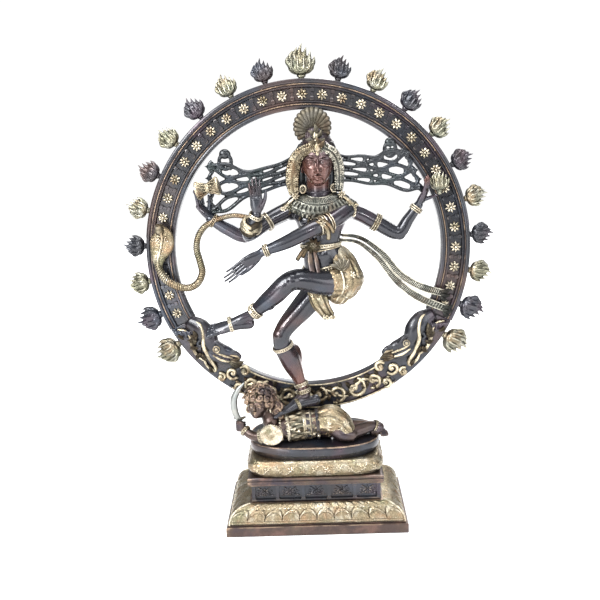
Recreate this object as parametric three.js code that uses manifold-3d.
// Nataraja: a dancing figure inside an arch of flames, on a moulded pedestal.
// Millimetres, +Z up, +X to the right of a viewer who faces the statue, +Y away from the viewer.
// The origin is the centre of the pedestal's underside.
import * as THREE from 'three';
import { mergeVertices } from 'three/addons/utils/BufferGeometryUtils.js';
import Module from 'manifold-3d';

const wasm = await Module();
wasm.setup();

// ---------------------------------------------------------------- driving dimensions

const GAP = 0.3; // clearance between neighbouring castings
const FULL_TURN = 2 * Math.PI;
const DEPTH_AXIS = [0, 1, 0];
const UP_AXIS = [0, 0, 1];

// The arch is an upright ellipse. Angles run from its top, positive towards +X, in degrees.
const ARCH = { halfWidth: 257, halfHeight: 266, centreZ: 443, band: 46, front: 16, back: 34 };
const ARCH_MIDDLE = (ARCH.front + ARCH.back) / 2;
const CHANNEL = { rail: 14, floor: 21.5 };
const ARCH_END = 117; // the rosette channel stops here and a makara head begins
const MAKARA_END = 147; // the makara head gives way to the scroll band
const JOINT_ANGLE = 0.1; // opening between the arch's four castings
const ROSETTE = { pitch: 7.5, perSide: 15, radius: 7.6, height: 5.4 };
const DIVIDER = { width: 3, height: 4.5 };

const FLAME = { height: 39, top: 50.7, thickness: 9, pitch: 12.3, perSide: 10 };

const PLINTH = { halfX: 146, halfY: 80, footTop: 20, top: 50, wall: 5 };
const NECK = { halfX: 104, halfY: 58, top: 80, wall: 6, panels: 5, sidePanels: 3 };
const CORNICE = { halfX: 109, halfY: 65, top: 95 };
const CUSHION = { halfX: 111, halfY: 69, top: 121, wall: 7 };
const SLAB = { halfX: 107, halfY: 64, top: 144 };
const TENON = { halfX: 47, front: 17, back: 33, top: 200 };
const BOLT = { shank: 4, head: 8, headHeight: 6, length: 52 };

const PALETTE = {
  patina: { color: 0x2b262c, roughness: 0.35, metalness: 0.9 },
  brass: { color: 0xb29a62, roughness: 0.32, metalness: 0.95 },
  olive: { color: 0x80785a, roughness: 0.34, metalness: 0.95 },
  bronze: { color: 0x6f5a4c, roughness: 0.38, metalness: 0.9 },
  steel: { color: 0x9a9ca0, roughness: 0.4, metalness: 0.9 },
};

// ---------------------------------------------------------------- solid kit

const at = (p) => new THREE.Vector3(p[0], p[1], p[2]);
const radians = (degrees) => (degrees * Math.PI) / 180;

function signedVolume(positions, index) {
  const corner = (i) => new THREE.Vector3().fromArray(positions, 3 * index[i]);
  let volume = 0;
  for (let i = 0; i < index.length; i += 3) {
    volume += corner(i).dot(corner(i + 1).cross(corner(i + 2)));
  }
  return volume / 6;
}

// Turns a closed three.js geometry into a solid whose faces point out.
function solid(geometry) {
  const bare = geometry.clone();
  bare.deleteAttribute('normal');
  bare.deleteAttribute('uv');
  const merged = mergeVertices(bare, 1e-4);
  const positions = new Float32Array(merged.attributes.position.array);
  const index = new Uint32Array(merged.index.array);
  if (signedVolume(positions, index) < 0) {
    index.reverse();
  }
  return new wasm.Manifold(new wasm.Mesh({ numProp: 3, vertProperties: positions, triVerts: index }));
}

function geometryOf(shape) {
  const mesh = shape.getMesh();
  const geometry = new THREE.BufferGeometry();
  geometry.setAttribute('position', new THREE.BufferAttribute(mesh.vertProperties, 3));
  geometry.setIndex(new THREE.BufferAttribute(mesh.triVerts, 1));
  return geometry;
}

const join = (...shapes) => shapes.reduce((sum, shape) => sum.add(shape));
const cut = (shape, ...tools) => tools.reduce((rest, tool) => rest.subtract(tool), shape);

// The biggest piece of a solid that a cut has left in several.
function largest(shape) {
  return shape.decompose().reduce((best, piece) => (piece.volume() > best.volume() ? piece : best));
}

// Triangles that close a flat outline, wound like the outline.
function capFaces(section) {
  const normal = new THREE.Vector3();
  section.forEach((p, i) => normal.add(p.clone().cross(section[(i + 1) % section.length])));
  normal.normalize();
  const across = section[1].clone().sub(section[0]).normalize();
  const up = normal.clone().cross(across);
  const outline = section.map((p) => new THREE.Vector2(p.dot(across), p.dot(up)));
  return THREE.ShapeUtils.triangulateShape(outline, []).map(([a, b, c]) => {
    const ab = outline[b].clone().sub(outline[a]);
    const ac = outline[c].clone().sub(outline[a]);
    return ab.cross(ac) > 0 ? [a, b, c] : [a, c, b];
  });
}

// A closed skin through sections with the same number of points. A tip closes an end to a point.
function loft(sections, startTip, endTip) {
  const count = sections[0].length;
  const points = sections.flat();
  const faces = [];
  for (let s = 0; s < sections.length - 1; s += 1) {
    for (let i = 0; i < count; i += 1) {
      const a = s * count + i;
      const b = s * count + ((i + 1) % count);
      faces.push(a, b, a + count, b, b + count, a + count);
    }
  }
  const closeEnd = (section, base, tip, flip) => {
    const turned = ([a, b, c]) => (flip ? faces.push(a, c, b) : faces.push(a, b, c));
    if (tip) {
      points.push(tip);
      section.forEach((p, i) => turned([points.length - 1, base + i, base + ((i + 1) % count)]));
    } else {
      capFaces(section).forEach((face) => turned(face.map((i) => base + i)));
    }
  };
  closeEnd(sections[0], 0, startTip, true);
  closeEnd(sections.at(-1), (sections.length - 1) * count, endTip, false);
  const geometry = new THREE.BufferGeometry();
  geometry.setAttribute('position', new THREE.Float32BufferAttribute(points.flatMap((p) => [p.x, p.y,
    p.z]), 3));
  geometry.setIndex(faces);
  return solid(geometry);
}

function ovalSection(centre, wideWay, deepWay, wide, deep, sides) {
  const section = [];
  for (let i = 0; i < sides; i += 1) {
    const angle = (FULL_TURN * (i + 0.5)) / sides;
    section.push(centre.clone()
      .addScaledVector(wideWay, wide * Math.cos(angle))
      .addScaledVector(deepWay, deep * Math.sin(angle)));
  }
  return section;
}

// Where a limb is, which way it runs and how thick it is, at a share t of its path.
function limbStation(path, girth, facing, t) {
  const line = new THREE.CatmullRomCurve3(path.map(at), false, 'catmullrom', 0.5);
  const sizes = girth.map((g) => (Array.isArray(g) ? new THREE.Vector3(g[0],
    g[1]) : new THREE.Vector3(g, g)));
  const size = new THREE.CatmullRomCurve3(sizes, false, 'catmullrom', 0.5).getPoint(t);
  const centre = line.getPoint(t);
  const along = line.getTangent(t).normalize();
  const deepWay = at(facing).addScaledVector(along, -at(facing).dot(along)).normalize();
  const wideWay = along.clone().cross(deepWay);
  return { centre, along, deepWay, wideWay, wide: size.x, deep: size.y };
}

// A smooth member of changing oval section. girth lists a radius, or [half width, half depth], per
// path point.
function limb(path, girth, { sides = 8, steps = 2, facing = DEPTH_AXIS, round = true, grow = 0 } = {}) {
  const count = (path.length - 1) * steps;
  const sections = [];
  const oval = (station, shift, scale) => ovalSection(
    station.centre.clone().addScaledVector(station.along, shift),
    station.wideWay,
    station.deepWay,
    (station.wide + grow) * scale,
    (station.deep + grow) * scale,
    sides,
  );
  const first = limbStation(path, girth, facing, 0);
  const last = limbStation(path, girth, facing, 1);
  const reach = (station) => Math.min(station.wide, station.deep) + grow;
  if (round) {
    sections.push(oval(first, -0.6 * reach(first), 0.75));
  }
  for (let k = 0; k <= count; k += 1) {
    sections.push(oval(limbStation(path, girth, facing, k / count), 0, 1));
  }
  if (!round) {
    return loft(sections);
  }
  sections.push(oval(last, 0.6 * reach(last), 0.75));
  const startTip = first.centre.clone().addScaledVector(first.along, -reach(first));
  const endTip = last.centre.clone().addScaledVector(last.along, reach(last));
  return loft(sections, startTip, endTip);
}

// A raised band round a limb at share t of its path.
function cuff(path, girth, t, width, proud, sides, grow = 0) {
  const station = limbStation(path, girth, DEPTH_AXIS, t);
  const half = width / 2 + grow;
  const size = [station.wide + proud + grow, station.deep + proud + grow];
  const ends = [-half, half].map((shift) => station.centre.clone().addScaledVector(station.along,
    shift).toArray());
  return limb(ends, [size, size], { sides, steps: 1, round: false });
}

function block(low, high) {
  const size = high.map((value, i) => value - low[i]);
  const middle = high.map((value, i) => (value + low[i]) / 2);
  return solid(new THREE.BoxGeometry(...size).translate(...middle));
}

function ellipsoid(centre, radii, columns = 10, rows = 7) {
  const ball = new THREE.SphereGeometry(1, columns, rows).rotateX(Math.PI / 2);
  return solid(ball.scale(...radii).translate(...centre));
}

// A flat outline in X and Z, given thickness along Y.
function plate(shape, front, thickness, curveSegments = 6) {
  const geometry = new THREE.ExtrudeGeometry(shape, { depth: thickness, bevelEnabled: false,
    curveSegments });
  return solid(geometry.rotateX(Math.PI / 2).translate(0, front + thickness, 0));
}

// A turned piece about a vertical axis through centre.
function turned(profile, centre, sides) {
  const outline = profile.map(([r, z]) => new THREE.Vector2(r, z));
  return solid(new THREE.LatheGeometry(outline, sides).rotateX(Math.PI / 2).translate(...centre));
}

const statue = new THREE.Group();

function add(name, shape, finish) {
  const mesh = new THREE.Mesh(geometryOf(shape), new THREE.MeshStandardMaterial(PALETTE[finish]));
  mesh.name = name;
  statue.add(mesh);
  return mesh;
}

// ---------------------------------------------------------------- pedestal

function rectangle(halfX, halfY, z) {
  return [[-1, -1], [1, -1], [1, 1], [-1, 1]].map(([x, y]) => new THREE.Vector3(x * halfX, y * halfY, z));
}

// A superellipse in plan: power 2 is an ellipse, and a high power is nearly a rectangle.
function plan(halfX, halfY, z, power, count) {
  const bend = (value) => Math.sign(value) * Math.abs(value) ** (2 / power);
  return Array.from({ length: count }, (_, i) => {
    const angle = (FULL_TURN * (i + 0.5)) / count;
    return new THREE.Vector3(halfX * bend(Math.cos(angle)), halfY * bend(Math.sin(angle)), z);
  });
}

// The lotus moulding swells out of the foot band and turns in to a narrow ledge under the neck.
function plinth() {
  const ledge = 3;
  const lip = 6;
  const run = PLINTH.halfX - NECK.halfX - ledge;
  const depthShare = (PLINTH.halfY - NECK.halfY - ledge) / run;
  const rise = PLINTH.top - PLINTH.footTop - 3;
  const steps = 5;
  const foot = [[0, 0], [0, PLINTH.footTop - 2], [2, PLINTH.footTop], [lip, PLINTH.footTop]];
  const swell = Array.from({ length: steps + 1 }, (_, i) => {
    const turn = (i / steps) * (Math.PI / 2);
    return [lip + (run - lip) * (1 - Math.cos(turn)), PLINTH.footTop + 1 + rise * Math.sin(turn)];
  });
  const levels = [...foot, ...swell, [run, PLINTH.top]];
  const outer = levels.map(([inset, z]) => rectangle(PLINTH.halfX - inset,
    PLINTH.halfY - inset * depthShare, z));
  const ceiling = run + ledge + NECK.wall;
  const inner = [[0, -1], [0, PLINTH.footTop], [ceiling, PLINTH.top - PLINTH.wall],
    [ceiling, PLINTH.top + 1]];
  const hollow = inner.map(([inset, z]) => (
    rectangle(PLINTH.halfX - PLINTH.wall - inset, PLINTH.halfY - PLINTH.wall - inset * depthShare, z)
  ));
  return cut(loft(outer), loft(hollow));
}

// The recessed neck: a rectangular sleeve with sills above and below and pilasters between its panels.
function neck() {
  const low = PLINTH.top + GAP;
  const sill = 5;
  const recess = 4;
  const shell = loft([
    rectangle(NECK.halfX, NECK.halfY, low),
    rectangle(NECK.halfX, NECK.halfY, low + sill),
    rectangle(NECK.halfX - recess, NECK.halfY - recess, low + sill),
    rectangle(NECK.halfX - recess, NECK.halfY - recess, NECK.top - sill),
    rectangle(NECK.halfX, NECK.halfY, NECK.top - sill),
    rectangle(NECK.halfX, NECK.halfY, NECK.top),
  ]);
  const pilasters = [];
  const half = 2.5;
  const proud = 1;
  for (let i = 0; i <= NECK.panels; i += 1) {
    const x = (NECK.halfX - half) * ((2 * i) / NECK.panels - 1);
    pilasters.push(block([x - half, -NECK.halfY + proud, low + 1],
      [x + half, NECK.halfY - proud, NECK.top - 1]));
  }
  for (let i = 1; i < NECK.sidePanels; i += 1) {
    const y = (NECK.halfY - half) * ((2 * i) / NECK.sidePanels - 1);
    pilasters.push(block([-NECK.halfX + proud, y - half, low + 1],
      [NECK.halfX - proud, y + half, NECK.top - 1]));
  }
  const inset = NECK.wall + recess;
  const bore = [low - 1, NECK.top + 1].map((z) => rectangle(NECK.halfX - inset, NECK.halfY - inset, z));
  return cut(join(shell, ...pilasters), loft(bore));
}

const boltPlaces = { arch: [0, ARCH_MIDDLE], dwarf_left: [-38, -27], dwarf_right: [30, -27] };

function boltHole([x, y]) {
  const radius = BOLT.shank + GAP;
  const low = CUSHION.top - CUSHION.wall - 1;
  return turned([[0, 0], [radius, 0], [radius, BOLT.length + 3], [0, BOLT.length + 3]], [x, y, low], 10);
}

const boltHoles = Object.values(boltPlaces).map(boltHole);

// The square-edged cornice over the neck, open in the middle.
function cornice() {
  const low = NECK.top + GAP;
  const levels = [[3, low], [0, low + 3], [0, CORNICE.top - 2], [2, CORNICE.top]];
  const outer = levels.map(([inset, z]) => rectangle(CORNICE.halfX - inset, CORNICE.halfY - inset, z));
  const rim = 14;
  const bore = [low - 1, CORNICE.top + 1].map((z) => rectangle(CORNICE.halfX - rim, CORNICE.halfY - rim,
    z));
  return cut(loft(outer), loft(bore));
}

// The cushion: a bulging roll with rounded corners, hollow from beneath.
function cushion() {
  const low = CORNICE.top + GAP;
  const roundness = 6;
  const levels = [[7, low], [3, low + 3], [0, low + 9], [1, low + 16], [5, low + 22], [11, CUSHION.top]];
  const outer = levels.map(([inset, z]) => plan(CUSHION.halfX - inset, CUSHION.halfY - inset, z,
    roundness, 24));
  const inset = 17;
  const hollow = [low - 1, CUSHION.top - CUSHION.wall].map((z) => (
    plan(CUSHION.halfX - inset, CUSHION.halfY - inset, z, roundness, 12)
  ));
  return cut(loft(outer), loft(hollow), ...boltHoles);
}

function slab() {
  const low = CUSHION.top + GAP;
  const levels = [[8, low], [5, low + 4], [1, low + 10], [0, low + 16], [2, SLAB.top]];
  const outline = levels.map(([inset, z]) => plan(SLAB.halfX - inset, SLAB.halfY - inset, z, 2.7, 28));
  return cut(loft(outline), ...boltHoles);
}

function bolt([x, y]) {
  const ceiling = CUSHION.top - CUSHION.wall - GAP;
  const chamfer = 1;
  const { length } = BOLT;
  const shank = [[0, 0], [BOLT.shank, 0], [BOLT.shank, length - chamfer],
    [BOLT.shank - chamfer, length], [0, length]];
  const head = [[0, 0], [BOLT.head, 0], [BOLT.head, BOLT.headHeight], [0, BOLT.headHeight]];
  return join(
    turned(head, [x, y, ceiling - BOLT.headHeight], 6),
    turned(shank, [x, y, ceiling - 1], 10),
  );
}

// ---------------------------------------------------------------- arch of flames

function archPoint(angle, inset, y) {
  const turn = radians(angle);
  return new THREE.Vector3(
    (ARCH.halfWidth - inset) * Math.sin(turn),
    y,
    ARCH.centreZ + (ARCH.halfHeight - inset) * Math.cos(turn),
  );
}

// Sweeps a section, listed as [inset from the outer edge, y], round part of the ellipse.
function archSweep(section, from, to, step) {
  const count = Math.round((to - from) / step);
  const stations = Array.from({ length: count + 1 }, (_, i) => from + ((to - from) * i) / count);
  return loft(stations.map((angle) => section.map(([inset, y]) => archPoint(angle, inset, y))));
}

function railSection(edge) {
  const { band, front, back } = ARCH;
  const inner = band - CHANNEL.rail + 1;
  return [
    [0, front + edge], [edge, front], [CHANNEL.rail - 3, front], [CHANNEL.rail, CHANNEL.floor],
    [inner, CHANNEL.floor], [inner + 3, front], [band - edge, front], [band, front + edge],
    [band, back - edge], [band - edge, back], [edge, back], [0, back - edge],
  ];
}

function plainSection(edge, grow = 0) {
  const { band, front, back } = ARCH;
  return [
    [-grow, front + edge], [edge, front - grow], [band - edge, front - grow], [band + grow, front + edge],
    [band + grow, back - edge], [band - edge, back + grow], [edge, back + grow], [-grow, back - edge],
  ];
}

function flameArch() {
  const limit = ARCH_END - JOINT_ANGLE;
  const pieces = [archSweep(railSection(4), -limit, limit, 6)];
  const middle = ARCH.band / 2 + 0.5;
  for (let i = -ROSETTE.perSide; i <= ROSETTE.perSide; i += 1) {
    const centre = archPoint(i * ROSETTE.pitch, middle, CHANNEL.floor + 0.5 - ROSETTE.height / 2);
    const flower = new THREE.ConeGeometry(ROSETTE.radius, ROSETTE.height, 5).rotateX(Math.PI);
    pieces.push(solid(flower.translate(centre.x, centre.y, centre.z)));
  }
  for (let i = -ROSETTE.perSide; i < ROSETTE.perSide; i += 1) {
    const angle = (i + 0.5) * ROSETTE.pitch;
    const bar = new THREE.BoxGeometry(DIVIDER.width, DIVIDER.height, ARCH.band - 2 * CHANNEL.rail + 5);
    const centre = archPoint(angle, middle, CHANNEL.floor + 0.8 - DIVIDER.height / 2);
    pieces.push(solid(bar.rotateY(radians(angle)).translate(centre.x, centre.y, centre.z)));
  }
  return join(...pieces);
}

// A spiral tendril in relief, from its rim at the start angle in to its eye.
function tendril(angle, inset, radius, turns, startAngle, direction) {
  const eye = archPoint(angle, inset, ARCH.front - 1);
  const count = 5 * turns + 1;
  const path = [];
  const girth = [];
  for (let i = 0; i < count; i += 1) {
    const share = i / (count - 1);
    const r = radius * (1 - 0.8 * share);
    const turn = radians(startAngle) + direction * share * turns * FULL_TURN;
    path.push([eye.x + r * Math.cos(turn), eye.y, eye.z + r * Math.sin(turn)]);
    girth.push(3.4 - 1.2 * share);
  }
  return limb(path, girth, { sides: 5, steps: 1 });
}

function scrollBand() {
  const start = MAKARA_END + JOINT_ANGLE;
  const pieces = [archSweep(plainSection(4), start, 360 - start, 4.4)];
  [-1, 1].forEach((side) => {
    pieces.push(
      tendril(180 + side * 27, 20, 16, 1.2, 90, side),
      tendril(180 + side * 17.5, 26, 16, 1.2, 90, -side),
      tendril(180 + side * 8.5, 21, 15, 1.2, 90, side),
    );
  });
  return join(...pieces);
}

// A makara: a sea beast whose neck fills the band, with its snout, jaw and crest inside the arch.
function makara(side) {
  const start = ARCH_END + JOINT_ANGLE;
  const end = MAKARA_END - JOINT_ANGLE;
  const sweep = side > 0 ? archSweep(plainSection(5), start, end, 5) : archSweep(plainSection(5), -end,
    -start, 5);
  const place = (angle, inset, y) => archPoint(side * angle, inset, y).toArray();
  const neckPath = [place(121, 30, 23), place(127, 42, 21), place(134, 52, 20), place(140, 58, 19),
    place(145, 62, 20)];
  const jawPath = [place(131, 36, 21), place(138, 42, 18), place(143, 45, 18), place(146, 50, 18)];
  const crestPath = [place(120, 40, 14), place(125, 58, 12), place(130, 66, 12), place(132, 56, 10),
    place(129, 50, 10)];
  const hornPath = [place(123, 10, 15), place(130, 16, 13), place(138, 24, 13), place(143, 18, 13),
    place(140, 11, 13)];
  return join(
    sweep,
    limb(neckPath, [[15, 12], [17, 13], [15, 12], [11, 10], [6, 6]], { sides: 10 }),
    limb(jawPath, [[10, 9], [9, 8], [8, 6], [4, 4]], { steps: 1 }),
    limb(crestPath, [5, 4.5, 4, 3.5, 2.5], { sides: 6, steps: 1 }),
    limb(hornPath, [5, 5, 4.5, 4, 3], { sides: 6, steps: 1 }),
    ellipsoid(place(131, 46, 9), [5, 4, 5], 8, 6),
  );
}

// Half of the flame's outline, as shares of its height: a stem, then tongues that grow towards the tip.
const FLAME_HALF = [
  [0.11, 0], [0.09, 0.14], [0.3, 0.19], [0.46, 0.42], [0.36, 0.46], [0.43, 0.68], [0.27, 0.64],
    [0.26, 0.88], [0.12, 0.76],
];

function flamePlate(height, thickness) {
  const right = FLAME_HALF.map(([x, z]) => new THREE.Vector2(x * height, z * height));
  const left = FLAME_HALF.map(([x, z]) => new THREE.Vector2(-x * height, z * height)).reverse();
  const outline = [...right, new THREE.Vector2(0, height), ...left];
  return plate(new THREE.Shape(outline), -thickness / 2, thickness);
}

function addFlames() {
  for (let i = -FLAME.perSide; i <= FLAME.perSide; i += 1) {
    const angle = i * FLAME.pitch;
    const turn = radians(angle);
    const height = i === 0 ? FLAME.top : FLAME.height;
    const name = `flame_${String(i + FLAME.perSide + 1).padStart(2, '0')}`;
    const mesh = add(name, flamePlate(height, FLAME.thickness), i % 2 === 0 ? 'olive' : 'patina');
    const outward = Math.atan2(Math.sin(turn) / ARCH.halfWidth, Math.cos(turn) / ARCH.halfHeight);
    mesh.position.copy(archPoint(angle, 0, ARCH_MIDDLE));
    mesh.position.add(new THREE.Vector3(Math.sin(outward) * GAP, 0, Math.cos(outward) * GAP));
    mesh.rotation.y = outward;
  }
}

function tenon(bandGrown) {
  const body = block([-TENON.halfX, TENON.front, SLAB.top + GAP], [TENON.halfX, TENON.back, TENON.top]);
  return cut(body, bandGrown, ...boltHoles);
}

// ---------------------------------------------------------------- dancer

const torsoPath = [
  [32, -6, 402], [29, -8, 421], [24, -12, 441], [21, -15, 459], [21, -13, 479],
  [22, -10, 497], [21, -9, 511], [20, -8, 522], [20, -8, 528],
];
const torsoGirth = [[29, 21], [37, 25], [34, 23], [30, 20], [33, 22], [42, 25], [44, 21], [31, 17],
  [20, 15]];
const torso = (grow = 0) => limb(torsoPath, torsoGirth, { sides: 12, steps: 1, round: false, grow });

function neckAndHead(grow = 0) {
  const neckPath = [[20, -8, 528 + GAP], [20, -11, 542], [20, -14, 560]];
  const neckGirth = [[20, 16], [19, 16], [17, 15]];
  const skull = ellipsoid([20, -14, 582], [24 + grow, 25 + grow, 30 + grow]);
  const nose = limb([[20, -38, 586], [20, -42, 577], [20, -38, 573]], [2, 3.4, 2.4],
    { sides: 6, steps: 1, grow });
  const ears = [-1, 1].map((side) => ellipsoid([20 + side * 24, -10, 574],
    [4 + grow, 6 + grow, 10 + grow], 6, 5));
  const folds = [0.35, 0.7].map((t) => cuff(neckPath, neckGirth, t, 5, 1.3, 12, grow));
  return join(limb(neckPath, neckGirth, { sides: 12, steps: 1, round: false, grow }), skull, nose,
    ...ears, ...folds);
}

// Piled hair under the crown.
const hairCap = (grow = 0) => limb(
  [[20, 0, 588], [20, -1, 604], [18, -2, 617], [16, -1, 626]],
  [[33, 22], [33, 24], [25, 21], [17, 15]],
  { sides: 12, steps: 1, round: false, grow },
);

// A jewelled band that frames the face and hangs to both shoulders.
function headdress(grow = 0) {
  const path = [
    [-14, -8, 534], [-17, -8, 560], [-14, -10, 588], [0, -17, 606], [19, -21, 614],
    [36, -17, 606], [48, -10, 588], [51, -8, 562], [49, -8, 536],
  ];
  const girth = [[7, 5], [9, 8], [9, 11], [7, 9], [8, 8], [7, 9], [8, 11], [8, 8], [6, 5]];
  return limb(path, girth, { sides: 8, steps: 1, grow });
}

// The fan crown: upright feathers that spread from a narrow root.
function crownFan() {
  const feathers = 9;
  const reach = 30;
  const rise = 25;
  const shape = new THREE.Shape();
  shape.moveTo(-8, 0);
  shape.lineTo(-reach, rise - 4);
  for (let i = 0; i < feathers; i += 1) {
    const middle = radians(180 - (180 * (i + 0.5)) / feathers);
    const end = radians(180 - (180 * (i + 1)) / feathers);
    const rim = (angle, share) => [Math.cos(angle) * reach * share, rise + Math.sin(angle) * reach * share];
    shape.lineTo(...rim(middle, 1.05));
    shape.lineTo(...rim(end, 0.97));
  }
  shape.lineTo(reach, rise - 4);
  shape.lineTo(8, 0);
  return plate(shape, -7, 14);
}

function collar() {
  const profile = [[17, 12], [22, 13], [40, 5], [57, -9], [56, -13], [38, -4], [18, 5], [17, 12]];
  const ring = new THREE.LatheGeometry(profile.map(([r, z]) => new THREE.Vector2(r, z)), 12);
  return solid(ring.rotateX(Math.PI / 2).scale(1, 0.62, 1).translate(20, -9, 520));
}

const pendant = () => limb([[20, -36, 512], [18, -38, 499], [15, -38, 485]], [[16, 6], [11, 6], [4, 5]],
  { steps: 1 });

// Palm, four fingers and a thumb. facing is the palm's normal; spread fans the fingertips out.
function hand({ wrist, knuckles, tips, facing, thumb, width = 11, spread = 1.1, curl = 2 }, grow = 0) {
  const along = at(tips).sub(at(wrist)).normalize();
  const normal = at(facing).addScaledVector(along, -at(facing).dot(along)).normalize();
  const across = along.clone().cross(normal);
  const middle = at(wrist).lerp(at(knuckles), 0.55).toArray();
  const palmGirth = [[7, 6], [width, 5.5], [width * 0.95, 4.4]];
  const palm = limb([wrist, middle, knuckles], palmGirth, { steps: 1, facing, grow });
  const fingers = [-1.5, -0.5, 0.5, 1.5].map((place) => {
    const shift = (place * width) / 2;
    const root = at(knuckles).addScaledVector(across, shift);
    const end = at(tips).addScaledVector(across, shift * spread).addScaledVector(along,
      -1.2 * place * place);
    const bend = root.clone().lerp(end, 0.5).addScaledVector(normal, curl);
    const path = [root.toArray(), bend.toArray(), end.toArray()];
    return limb(path, [3.2, 3, 2.1], { sides: 5, steps: 1, round: false, facing, grow });
  });
  const thumbPath = [middle, at(middle).lerp(at(thumb), 0.6).toArray(), thumb];
  return join(palm, ...fingers, limb(thumbPath, [3.6, 3.2, 2.4],
    { sides: 5, steps: 1, round: false, facing, grow }));
}

// Each arm: its path from the shoulder to the wrist, its radii, the shares where bands sit, and its hand.
const ARMS = {
  frontLeft: {
    path: [[66, -15, 514], [39, -34, 500], [6, -50, 489], [-30, -56, 473], [-67, -58, 460]],
    girth: [14, 13.5, 12, 10.5, 8],
    bands: [[0.26, 12, 3], [0.94, 8, 2.4]],
    hand: {
      wrist: [-66, -58, 460], knuckles: [-93, -61, 445], tips: [-126, -60, 420], thumb: [-97, -62, 428],
        facing: [0.3, -1, -0.4],
    },
  },
  frontRight: {
    path: [[-26, -8, 515], [-56, -18, 502], [-86, -30, 483], [-82, -42, 498], [-73, -50, 514]],
    girth: [13.5, 12.5, 11.5, 10.5, 8],
    bands: [[0.26, 8, 3], [0.74, 16, 3.5], [0.96, 4, 2]],
    hand: {
      wrist: [-73, -50, 514], knuckles: [-71, -53, 534], tips: [-74, -50, 568], thumb: [-58, -56, 548],
        facing: [0.1, -1, 0.1],
      spread: 0.8,
    },
  },
  rearRight: {
    path: [[-22, 2, 512], [-58, 0, 497], [-94, 0, 476], [-122, 0, 487], [-148, 0, 504]],
    girth: [12, 12, 11.5, 9.5, 7.5],
    bands: [[0.93, 5, 2]],
    hand: {
      wrist: [-148, 0, 504], knuckles: [-163, 0, 524], tips: [-170, 0, 560], thumb: [-150, -8, 538],
        facing: [1, -0.6, 0.3], width: 9,
    },
  },
  rearLeft: {
    path: [[60, 1, 510], [82, 0, 504], [110, 0, 488], [141, 0, 472], [157, 0, 492], [173, 0, 514]],
    girth: [12, 12.5, 12.5, 11.5, 9, 7.5],
    bands: [[0.36, 8, 0.2], [0.94, 5, 2]],
    hand: {
      wrist: [173, 0, 514], knuckles: [183, -2, 534], tips: [188, -4, 558], thumb: [197, -9, 528],
        facing: [1, -0.4, -0.3], width: 9,
    },
  },
};

function arm({ path, girth, bands, hand: shape }, grow = 0) {
  const sides = 8;
  const rings = bands.map(([t, width, proud]) => cuff(path, girth, t, width, proud, sides, grow));
  return join(limb(path, girth, { sides, grow }), hand(shape, grow), ...rings);
}

const LEGS = {
  raised: {
    path: [[58, -10, 402], [25, -30, 404], [-22, -48, 414], [-54, -46, 389], [-91, -42, 360]],
    girth: [25, 22, 17, 15, 10.5],
    bands: [[0.93, 9, 3]],
    foot: [[-92, -40, 347], [-106, -42, 350], [-132, -43, 343], [-160, -44, 337]],
    footGirth: [[10, 10], [11, 13], [12, 9], [11, 5]],
  },
  standing: {
    path: [[24, -2, 394], [-10, -6, 360], [-47, -18, 316], [-34, -12, 274], [-20, -9, 236],
      [-14, -12, 214]],
    girth: [23, 20, 15, 17.5, 11.5, 11],
    bands: [[0.48, 5, 2.5], [0.82, 6, 3]],
    foot: [[6, -15, 207], [-12, -18, 209], [-36, -28, 201], [-58, -36, 192]],
    footGirth: [[9, 9], [10.5, 12], [11.5, 8], [10, 4.5]],
  },
};

function leg({ path, girth, bands, foot, footGirth }, grow = 0) {
  const sides = 8;
  const rings = bands.map(([t, width, proud]) => cuff(path, girth, t, width, proud, sides, grow));
  const sole = limb(foot, footGirth, { facing: UP_AXIS, grow });
  return join(limb(path, girth, { sides, grow }), sole, ...rings);
}

// Cloth wound round the hips, worn as a shell over the torso and the root of the raised thigh.
const hipCloth = () => limb(
  [[50, -8, 436], [56, -10, 420], [56, -11, 402], [50, -12, 386]],
  [[20, 22], [29, 28], [30, 30], [18, 20]],
  { sides: 12 },
);

const loinTail = () => limb([[14, -24, 388], [20, -27, 368], [29, -26, 349]], [[14, 7], [13, 6], [8, 4]]);

// ---------------------------------------------------------------- hair, sash, cobra and what the
// hands hold

// A point on a wing of matted hair: s runs from the head to the tip, t from its lower to its upper edge.
function wingPoint({ root, tip, waist }, s, t) {
  const mix = (a, b, share) => a + (b - a) * share;
  const pinch = waist * Math.sin(Math.PI * Math.min(s, 1)) * (t - 0.3);
  const x = mix(mix(root[0][0], root[1][0], t), mix(tip[0][0], tip[1][0], t), s);
  const z = mix(mix(root[0][1], root[1][1], t), mix(tip[0][1], tip[1][1], t), s) - pinch;
  return new THREE.Vector2(x, z);
}

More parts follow.
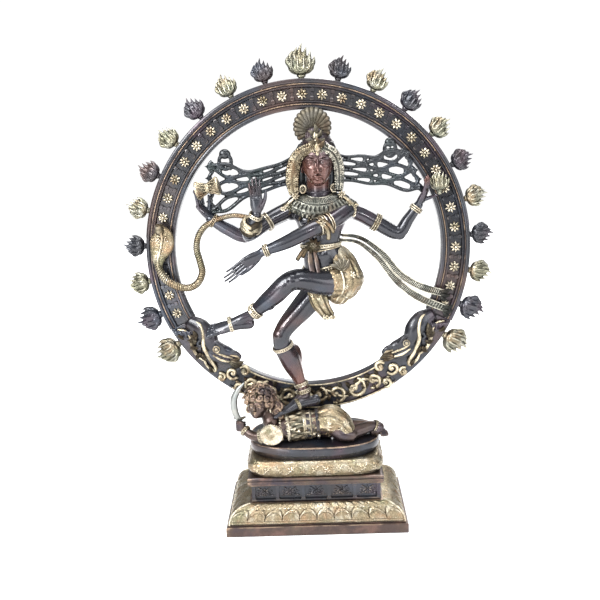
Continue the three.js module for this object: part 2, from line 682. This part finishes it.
// Strands tied by cross bands, so the wing is a sheet with slots, and a knob that meets the arch.
function hairWing(wing, knob) {
  const rows = 5;
  const columns = 3;
  const outline = [];
  const edge = [0, 0.25, 0.5, 0.75, 1];
  edge.forEach((s) => outline.push(wingPoint(wing, s, 0)));
  for (let row = 0; row < rows; row += 1) {
    outline.push(wingPoint(wing, 1.07, (row + 0.5) / rows));
    outline.push(wingPoint(wing, 1, (row + 1) / rows));
  }
  edge.slice(0, -1).reverse().forEach((s) => outline.push(wingPoint(wing, s, 1)));
  if (THREE.ShapeUtils.isClockWise(outline)) {
    outline.reverse();
  }
  const shape = new THREE.Shape(outline);
  for (let row = 0; row < rows - 1; row += 1) {
    for (let column = 0; column < columns; column += 1) {
      const [left, right] = [(column + 0.12) / columns, (column + 0.88) / columns];
      const [low, high] = [(row + 0.75) / rows, (row + 1.25) / rows];
      const slot = [[left, low], [right, low], [right, high], [left, high]];
      shape.holes.push(new THREE.Path(slot.map(([s, t]) => wingPoint(wing, s, t))));
    }
  }
  const boss = new THREE.CylinderGeometry(knob.radius, knob.radius, 9, 10).translate(knob.x, 0, 0);
  return join(plate(shape, 4, 6), solid(boss.translate(0, 8, knob.z)));
}

const cobraBodyPath = [
  [-94, -26, 508], [-108, -14, 510], [-128, -8, 507], [-145, -5, 501], [-160, -4, 491], [-170, -3, 475],
  [-173, -2, 457], [-169, -2, 437], [-167, -2, 420], [-175, -2, 404], [-191, 0, 396], [-210, 0, 400],
  [-227, 2, 411], [-236, 4, 430], [-234, 5, 446],
];
const cobraHoodPath = [[-235, 4, 434], [-234, 5, 450], [-228, 5, 466], [-226, 5, 480], [-229, 3, 492]];

function cobra() {
  const thin = 3.8;
  const thick = 5.8;
  const spread = cobraBodyPath.length - 1;
  const girth = cobraBodyPath.map((_, i) => thin + (thick - thin) * Math.min(1, (2 * i) / spread));
  const hood = limb(cobraHoodPath, [[6, 5], [15, 6], [20, 7], [16, 7], [7, 6]]);
  return join(limb(cobraBodyPath, girth, { sides: 6, steps: 1 }), hood);
}

const sashLowerPath = [
  [54, -6, 468], [74, -6, 462], [92, -5, 451], [113, -3, 430], [131, 0, 405], [151, 2, 384],
    [178, 6, 364], [218, 8, 345],
];
const sashUpperPath = [
  [58, -6, 474], [78, -6, 469], [97, -5, 458], [119, -3, 438], [138, 0, 413], [158, 3, 395],
    [184, 6, 381], [214, 8, 371],
];
const sashGirth = [[2.6, 2.6], [3, 2.8], [3.6, 3], [4.6, 3.2], [5.2, 3.4], [5.8, 3.4], [6, 3.4], [6, 3.4]];
const sash = (path, grow = 0) => limb(path, sashGirth, { grow });

function drum() {
  const half = 13;
  const profile = [[0, -half], [10, -half], [10, -half + 3], [5, 0], [10, half - 3], [10, half], [0, half]];
  const body = new THREE.LatheGeometry(profile.map(([r, z]) => new THREE.Vector2(r, z)), 12);
  return solid(body.rotateZ(Math.PI / 2).translate(-146, -12, 552));
}

// ---------------------------------------------------------------- dwarf underfoot

function dwarfBody(grow = 0) {
  const trunkPath = [[-58, -30, 166], [-38, -29, 167], [-8, -27, 170], [26, -25, 171]];
  const shinPath = [[56, -40, 156], [74, -30, 158], [96, -20, 160], [106, -17, 154]];
  const armPath = [[-56, -36, 170], [-84, -42, 158], [-102, -36, 158], [-118, -28, 170]];
  return join(
    limb(trunkPath, [[18, 19], [22, 21], [21, 20], [27, 25]], { sides: 10, steps: 1, grow }),
    limb([[30, -32, 168], [44, -44, 158], [58, -44, 154]], [17, 13, 11], { steps: 1, grow }),
    limb(shinPath, [[11, 11], [10, 10], [10, 11], [7, 9]], { steps: 1, grow }),
    limb(armPath, [10, 9, 8, 8], { steps: 1, grow }),
    ellipsoid([-118, -28, 171], [10 + grow, 9 + grow, 9 + grow], 8, 6),
  );
}

function dwarfHead() {
  const centre = [-86, -20, 203];
  const curlCount = 7;
  const curls = Array.from({ length: curlCount }, (_, i) => {
    const turn = radians(-20 + i * 37);
    return ellipsoid([centre[0] + 21 * Math.cos(turn), -18, centre[2] + 4 + 24 * Math.sin(turn)],
      [8, 9, 8], 6, 5);
  });
  const nose = limb([[-88, -39, 206], [-88, -43, 198], [-88, -39, 194]], [2, 4, 3], { sides: 6, steps: 1 });
  return join(ellipsoid(centre, [22, 21, 26], 10, 7), nose, ...curls);
}

function dwarfShield() {
  const profile = [[0, 6], [0, 2], [15, -3], [19, -3], [19, 0], [13, 3], [0, 6]];
  const disc = new THREE.LatheGeometry(profile.map(([r, z]) => new THREE.Vector2(r, z)), 16);
  return solid(disc.rotateX(Math.PI).rotateX(radians(-12)).translate(-67, -58, 168.5));
}

const dwarfSword = () => limb(
  [[-119, -27, 180], [-128, -27, 200], [-125, -26, 218], [-117, -26, 232], [-106, -25, 243]],
  [[4, 2.5], [6, 2.5], [6, 2.5], [4.5, 2], [1.5, 1.2]],
);

// ---------------------------------------------------------------- assembly

add('plinth', plinth(), 'bronze');
add('neck', neck(), 'patina');
add('cornice', cornice(), 'bronze');
add('cushion', cushion(), 'brass');
add('slab', slab(), 'patina');

const bandGrown = archSweep(plainSection(4, GAP), MAKARA_END, 360 - MAKARA_END, 4.4);
add('arch_tenon', tenon(bandGrown), 'patina');
add('flame_arch', flameArch(), 'patina');
add('scroll_band', scrollBand(), 'patina');
add('makara_right', makara(1), 'bronze');
add('makara_left', makara(-1), 'bronze');
addFlames();

const grown = {
  torso: torso(GAP),
  head: neckAndHead(GAP),
  cap: hairCap(GAP),
  headdress: headdress(GAP),
  raisedLeg: leg(LEGS.raised, GAP),
  standingLeg: leg(LEGS.standing, GAP),
  frontLeft: arm(ARMS.frontLeft, GAP),
  frontRight: arm(ARMS.frontRight, GAP),
  rearLeft: arm(ARMS.rearLeft, GAP),
  rearRight: arm(ARMS.rearRight, GAP),
  sashLower: sash(sashLowerPath, GAP),
  dwarf: dwarfBody(GAP),
};
const addFitted = (name, shape, finish, ...neighbours) => (
  add(name, largest(cut(shape, ...neighbours.map((key) => grown[key]))), finish)
);

addFitted('torso', torso(), 'patina');
addFitted('head', neckAndHead(), 'patina', 'torso');
addFitted('hair_cap', hairCap(), 'patina', 'head', 'headdress');
addFitted('headdress', headdress(), 'brass', 'head', 'torso');
addFitted(
  'collar', join(collar(), pendant()), 'olive', 'torso', 'head', 'headdress', 'frontLeft', 'frontRight',
    'rearLeft', 'rearRight',
);
addFitted('raised_leg', leg(LEGS.raised), 'patina', 'torso');
addFitted('standing_leg', leg(LEGS.standing), 'patina', 'torso', 'raisedLeg');
addFitted('hip_cloth', hipCloth(), 'brass', 'torso', 'raisedLeg', 'standingLeg');
addFitted('loin_tail', loinTail(), 'brass', 'torso', 'raisedLeg', 'standingLeg');
addFitted('front_left_arm', arm(ARMS.frontLeft), 'patina', 'torso');
addFitted('front_right_arm', arm(ARMS.frontRight), 'patina', 'torso');
addFitted('rear_left_arm', arm(ARMS.rearLeft), 'patina', 'torso', 'frontLeft');
addFitted('rear_right_arm', arm(ARMS.rearRight), 'patina', 'torso', 'frontRight');

addFitted('crown_fan', crownFan().translate(14, 2, 614), 'bronze', 'cap', 'head', 'headdress');
addFitted('drum', drum(), 'brass', 'rearRight');
addFitted('hand_flame', flamePlate(35, 8).translate(206, 5, 532), 'olive', 'rearLeft');

const leftWing = { root: [[-22, 553], [-16, 594]], tip: [[-144, 507], [-141, 592]], waist: 26 };
const rightWing = { root: [[56, 555], [52, 594]], tip: [[176, 534], [150, 600]], waist: 10 };
addFitted(
  'hair_left', hairWing(leftWing, { x: -121, z: 592, radius: 12 }), 'patina', 'head', 'cap',
    'headdress', 'rearRight', 'frontRight',
);
addFitted(
  'hair_right', hairWing(rightWing, { x: 131, z: 602, radius: 11 }), 'patina', 'head', 'cap',
    'headdress', 'rearLeft',
);
addFitted('sash_lower', sash(sashLowerPath), 'olive', 'torso');
addFitted('sash_upper', sash(sashUpperPath), 'olive', 'torso', 'sashLower', 'rearLeft', 'frontLeft');
addFitted('cobra', cobra(), 'brass', 'frontRight', 'rearRight');

const belowSlabTop = block([-200, -200, 0], [200, 200, SLAB.top + GAP]);
addFitted('dwarf_body', cut(dwarfBody(), belowSlabTop, ...boltHoles), 'bronze', 'standingLeg');
addFitted('dwarf_head', dwarfHead(), 'bronze', 'dwarf', 'standingLeg');
addFitted('dwarf_shield', dwarfShield(), 'brass', 'dwarf');
addFitted('dwarf_sword', dwarfSword(), 'steel', 'dwarf');
Object.entries(boltPlaces).forEach(([name, place]) => add(`${name}_bolt`, bolt(place), 'steel'));

export default statue;
